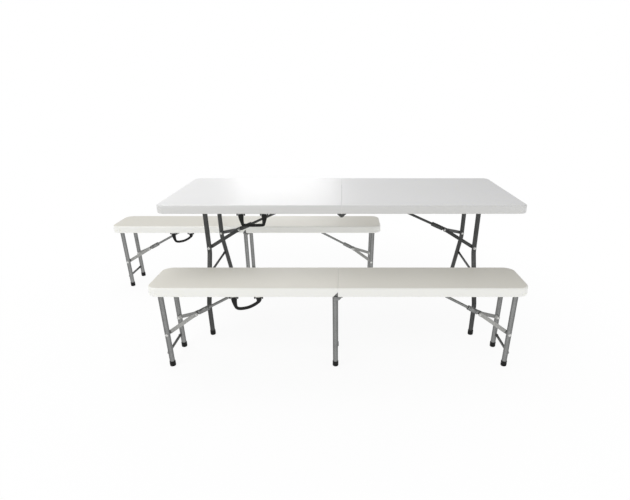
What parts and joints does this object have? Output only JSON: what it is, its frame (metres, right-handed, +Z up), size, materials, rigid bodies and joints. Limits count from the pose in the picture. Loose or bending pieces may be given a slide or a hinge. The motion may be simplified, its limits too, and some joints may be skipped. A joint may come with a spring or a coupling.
{
  "type": "folding picnic table set",
  "caption": "Folding picnic set: a fold-in-half moulded plastic table with swing-up tubular legs and braces, and matching fold-in-half benches.",
  "frame": {"origin": "centre of the whole set at ground level: middle of the overall length and depth, with the feet on Z = 0", "axes": "+X along the table and seats, +Y from the front bench to the back bench, +Z up"},
  "size_m": [2.395, 1.316, 0.74],
  "materials": {
    "table_plastic": "moulded polyethylene, near white, very fine grain",
    "bench_plastic": "moulded polyethylene, warm white, very fine grain",
    "table_steel": "dark grey hammered coat with a slight sheen",
    "bench_steel": "mid grey hammered coat with a slight sheen",
    "arm_steel": "light grey powder coat",
    "zinc_fixings": "bright zinc plate",
    "foot_rubber": "matt black",
    "handle_plastic": "satin black"
  },
  "bodies": {
    "table_left_half": {"table_panel_left": "table_plastic", "table_rails_left": "table_steel", "table_hinge_pins": "zinc_fixings", "table_screws_left": "zinc_fixings"},
    "table_right_half": {"table_panel_right": "table_plastic", "table_rails_right": "table_steel", "table_screws_right": "zinc_fixings"},
    "table_end_leg_left": {"table_leg_left": "table_steel", "table_leg_caps_left": "foot_rubber", "table_leg_rivets_left": "zinc_fixings"},
    "table_rod_left": {"table_brace_rod_left": "table_steel"},
    "table_arms_left": {"table_brace_arms_left": "arm_steel"},
    "table_sleeve_left": {"table_lock_sleeve_left": "table_steel"},
    "table_end_leg_right": {"table_leg_right": "table_steel", "table_leg_caps_right": "foot_rubber", "table_leg_rivets_right": "zinc_fixings"},
    "table_rod_right": {"table_brace_rod_right": "table_steel"},
    "table_arms_right": {"table_brace_arms_right": "arm_steel"},
    "table_sleeve_right": {"table_lock_sleeve_right": "table_steel"},
    "table_handle": {"table_carry_handle": "handle_plastic"},
    "front_bench_left_half": {"front_bench_panel_left": "bench_plastic", "front_bench_rails_left": "bench_steel", "front_bench_hinge_pins": "zinc_fixings"},
    "front_bench_right_half": {"front_bench_panel_right": "bench_plastic", "front_bench_rails_right": "bench_steel"},
    "front_bench_end_leg_left": {"front_bench_leg_left": "bench_steel", "front_bench_leg_caps_left": "foot_rubber", "front_bench_leg_rivets_left": "zinc_fixings"},
    "front_bench_rod_left": {"front_bench_brace_rod_left": "bench_steel"},
    "front_bench_arms_left": {"front_bench_brace_arms_left": "arm_steel"},
    "front_bench_sleeve_left": {"front_bench_lock_sleeve_left": "bench_steel"},
    "front_bench_end_leg_right": {"front_bench_leg_right": "bench_steel", "front_bench_leg_caps_right": "foot_rubber", "front_bench_leg_rivets_right": "zinc_fixings"},
    "front_bench_rod_right": {"front_bench_brace_rod_right": "bench_steel"},
    "front_bench_arms_right": {"front_bench_brace_arms_right": "arm_steel"},
    "front_bench_sleeve_right": {"front_bench_lock_sleeve_right": "bench_steel"},
    "front_bench_middle_leg": {"front_bench_centre_leg": "bench_steel", "front_bench_centre_leg_caps": "foot_rubber"},
    "front_bench_handle": {"front_bench_carry_handle": "handle_plastic"},
    "back_bench_left_half": {"back_bench_panel_left": "bench_plastic", "back_bench_rails_left": "bench_steel", "back_bench_hinge_pins": "zinc_fixings"},
    "back_bench_right_half": {"back_bench_panel_right": "bench_plastic", "back_bench_rails_right": "bench_steel"},
    "back_bench_end_leg_left": {"back_bench_leg_left": "bench_steel", "back_bench_leg_caps_left": "foot_rubber", "back_bench_leg_rivets_left": "zinc_fixings"},
    "back_bench_rod_left": {"back_bench_brace_rod_left": "bench_steel"},
    "back_bench_arms_left": {"back_bench_brace_arms_left": "arm_steel"},
    "back_bench_sleeve_left": {"back_bench_lock_sleeve_left": "bench_steel"},
    "back_bench_end_leg_right": {"back_bench_leg_right": "bench_steel", "back_bench_leg_caps_right": "foot_rubber", "back_bench_leg_rivets_right": "zinc_fixings"},
    "back_bench_rod_right": {"back_bench_brace_rod_right": "bench_steel"},
    "back_bench_arms_right": {"back_bench_brace_arms_right": "arm_steel"},
    "back_bench_sleeve_right": {"back_bench_lock_sleeve_right": "bench_steel"},
    "back_bench_middle_leg": {"back_bench_centre_leg": "bench_steel", "back_bench_centre_leg_caps": "foot_rubber"},
    "back_bench_handle": {"back_bench_carry_handle": "handle_plastic"}
  },
  "joints": [
    {"name": "table_fold", "type": "hinge", "parent": "table_left_half", "child": "table_right_half", "pos_m": [0.2975, 0, 0.6875], "axis": [0, 1, 0], "range_deg": [0, 75]},
    {"name": "table_leg_left_swing", "type": "hinge", "parent": "table_left_half", "child": "table_end_leg_left", "pos_m": [-0.4265, 0, 0.711], "axis": [0, -1, 0], "range_deg": [0, 89.17]},
    {"name": "table_rod_left_swing", "type": "hinge", "parent": "table_left_half", "child": "table_rod_left", "pos_m": [0.1575, 0, 0.716], "axis": [0, 1, 0], "range_deg": [0, 23.3]},
    {"name": "table_arms_left_swing", "type": "hinge", "parent": "table_end_leg_left", "child": "table_arms_left", "pos_m": [-0.42291, 0, 0.45603], "axis": [0, -1, 0], "range_deg": [0, 67.58]},
    {"name": "table_sleeve_left_slide", "type": "slide", "parent": "table_rod_left", "child": "table_sleeve_left", "axis": [0.9126, 0, 0.4088], "range_m": [0, 0.06]},
    {"name": "table_leg_right_swing", "type": "hinge", "parent": "table_right_half", "child": "table_end_leg_right", "pos_m": [1.0215, 0, 0.711], "axis": [0, 1, 0], "range_deg": [0, 89.17]},
    {"name": "table_rod_right_swing", "type": "hinge", "parent": "table_right_half", "child": "table_rod_right", "pos_m": [0.4375, 0, 0.716], "axis": [0, -1, 0], "range_deg": [0, 23.3]},
    {"name": "table_arms_right_swing", "type": "hinge", "parent": "table_end_leg_right", "child": "table_arms_right", "pos_m": [1.01791, 0, 0.45603], "axis": [0, 1, 0], "range_deg": [0, 67.58]},
    {"name": "table_sleeve_right_slide", "type": "slide", "parent": "table_rod_right", "child": "table_sleeve_right", "axis": [-0.9126, 0, 0.4088], "range_m": [0, 0.06]},
    {"name": "table_handle_swing", "type": "hinge", "parent": "table_left_half", "child": "table_handle", "pos_m": [-0.1345, -0.362, 0.693], "axis": [-1, 0, 0], "range_deg": [-30, 90]},
    {"name": "front_bench_pull_out", "type": "slide", "parent": "table_left_half", "child": "front_bench_left_half", "axis": [0, -1, 0], "range_m": [0, 0.3]},
    {"name": "front_bench_fold", "type": "hinge", "parent": "front_bench_left_half", "child": "front_bench_right_half", "pos_m": [0.2805, -0.518, 0.3755], "axis": [0, 1, 0], "range_deg": [0, 80]},
    {"name": "front_bench_leg_left_swing", "type": "hinge", "parent": "front_bench_left_half", "child": "front_bench_end_leg_left", "pos_m": [-0.5435, -0.518, 0.401], "axis": [0, -1, 0], "range_deg": [0, 88.84]},
    {"name": "front_bench_rod_left_swing", "type": "hinge", "parent": "front_bench_left_half", "child": "front_bench_rod_left", "pos_m": [-0.0995, -0.518, 0.406], "axis": [0, 1, 0], "range_deg": [0, 26.55]},
    {"name": "front_bench_arms_left_swing", "type": "hinge", "parent": "front_bench_end_leg_left", "child": "front_bench_arms_left", "pos_m": [-0.53897, -0.518, 0.17405], "axis": [0, -1, 0], "range_deg": [0, 64.67]},
    {"name": "front_bench_sleeve_left_slide", "type": "slide", "parent": "front_bench_rod_left", "child": "front_bench_sleeve_left", "axis": [0.8844, 0, 0.4668], "range_m": [0, 0.06]},
    {"name": "front_bench_leg_right_swing", "type": "hinge", "parent": "front_bench_right_half", "child": "front_bench_end_leg_right", "pos_m": [1.1045, -0.518, 0.401], "axis": [0, 1, 0], "range_deg": [0, 88.84]},
    {"name": "front_bench_rod_right_swing", "type": "hinge", "parent": "front_bench_right_half", "child": "front_bench_rod_right", "pos_m": [0.6605, -0.518, 0.406], "axis": [0, -1, 0], "range_deg": [0, 26.55]},
    {"name": "front_bench_arms_right_swing", "type": "hinge", "parent": "front_bench_end_leg_right", "child": "front_bench_arms_right", "pos_m": [1.09997, -0.518, 0.17405], "axis": [0, 1, 0], "range_deg": [0, 64.67]},
    {"name": "front_bench_sleeve_right_slide", "type": "slide", "parent": "front_bench_rod_right", "child": "front_bench_sleeve_right", "axis": [-0.8844, 0, 0.4668], "range_m": [0, 0.06]},
    {"name": "front_bench_centre_leg_swing", "type": "hinge", "parent": "front_bench_left_half", "child": "front_bench_middle_leg", "pos_m": [0.267, -0.518, 0.401], "axis": [0, 1, 0], "range_deg": [0, 90]},
    {"name": "front_bench_handle_swing", "type": "hinge", "parent": "front_bench_left_half", "child": "front_bench_handle", "pos_m": [-0.1375, -0.651, 0.381], "axis": [-1, 0, 0], "range_deg": [-30, 90]},
    {"name": "back_bench_pull_out", "type": "slide", "parent": "table_left_half", "child": "back_bench_left_half", "axis": [0, 1, 0], "range_m": [0, 0.3]},
    {"name": "back_bench_fold", "type": "hinge", "parent": "back_bench_left_half", "child": "back_bench_right_half", "pos_m": [-0.3225, 0.518, 0.3755], "axis": [0, 1, 0], "range_deg": [0, 80]},
    {"name": "back_bench_leg_left_swing", "type": "hinge", "parent": "back_bench_left_half", "child": "back_bench_end_leg_left", "pos_m": [-1.1465, 0.518, 0.401], "axis": [0, -1, 0], "range_deg": [0, 88.84]},
    {"name": "back_bench_rod_left_swing", "type": "hinge", "parent": "back_bench_left_half", "child": "back_bench_rod_left", "pos_m": [-0.7025, 0.518, 0.406], "axis": [0, 1, 0], "range_deg": [0, 26.55]},
    {"name": "back_bench_arms_left_swing", "type": "hinge", "parent": "back_bench_end_leg_left", "child": "back_bench_arms_left", "pos_m": [-1.14197, 0.518, 0.17405], "axis": [0, -1, 0], "range_deg": [0, 64.67]},
    {"name": "back_bench_sleeve_left_slide", "type": "slide", "parent": "back_bench_rod_left", "child": "back_bench_sleeve_left", "axis": [0.8844, 0, 0.4668], "range_m": [0, 0.06]},
    {"name": "back_bench_leg_right_swing", "type": "hinge", "parent": "back_bench_right_half", "child": "back_bench_end_leg_right", "pos_m": [0.5015, 0.518, 0.401], "axis": [0, 1, 0], "range_deg": [0, 88.84]},
    {"name": "back_bench_rod_right_swing", "type": "hinge", "parent": "back_bench_right_half", "child": "back_bench_rod_right", "pos_m": [0.0575, 0.518, 0.406], "axis": [0, -1, 0], "range_deg": [0, 26.55]},
    {"name": "back_bench_arms_right_swing", "type": "hinge", "parent": "back_bench_end_leg_right", "child": "back_bench_arms_right", "pos_m": [0.49697, 0.518, 0.17405], "axis": [0, 1, 0], "range_deg": [0, 64.67]},
    {"name": "back_bench_sleeve_right_slide", "type": "slide", "parent": "back_bench_rod_right", "child": "back_bench_sleeve_right", "axis": [-0.8844, 0, 0.4668], "range_m": [0, 0.06]},
    {"name": "back_bench_centre_leg_swing", "type": "hinge", "parent": "back_bench_left_half", "child": "back_bench_middle_leg", "pos_m": [-0.336, 0.518, 0.401], "axis": [0, 1, 0], "range_deg": [0, 90]},
    {"name": "back_bench_handle_swing", "type": "hinge", "parent": "back_bench_left_half", "child": "back_bench_handle", "pos_m": [-0.7405, 0.385, 0.381], "axis": [-1, 0, 0], "range_deg": [-30, 90]}
  ],
  "couplings": [
    {"joint": "table_rod_left_swing", "follows": "table_leg_left_swing", "ratio": 0.26075},
    {"joint": "table_arms_left_swing", "follows": "table_leg_left_swing", "ratio": 0.75732},
    {"joint": "table_rod_right_swing", "follows": "table_leg_right_swing", "ratio": 0.26075},
    {"joint": "table_arms_right_swing", "follows": "table_leg_right_swing", "ratio": 0.75732},
    {"joint": "front_bench_rod_left_swing", "follows": "front_bench_leg_left_swing", "ratio": 0.29829},
    {"joint": "front_bench_arms_left_swing", "follows": "front_bench_leg_left_swing", "ratio": 0.72743},
    {"joint": "front_bench_rod_right_swing", "follows": "front_bench_leg_right_swing", "ratio": 0.29829},
    {"joint": "front_bench_arms_right_swing", "follows": "front_bench_leg_right_swing", "ratio": 0.72743},
    {"joint": "back_bench_rod_left_swing", "follows": "back_bench_leg_left_swing", "ratio": 0.29829},
    {"joint": "back_bench_arms_left_swing", "follows": "back_bench_leg_left_swing", "ratio": 0.72743},
    {"joint": "back_bench_rod_right_swing", "follows": "back_bench_leg_right_swing", "ratio": 0.29829},
    {"joint": "back_bench_arms_right_swing", "follows": "back_bench_leg_right_swing", "ratio": 0.72743}
  ]
}
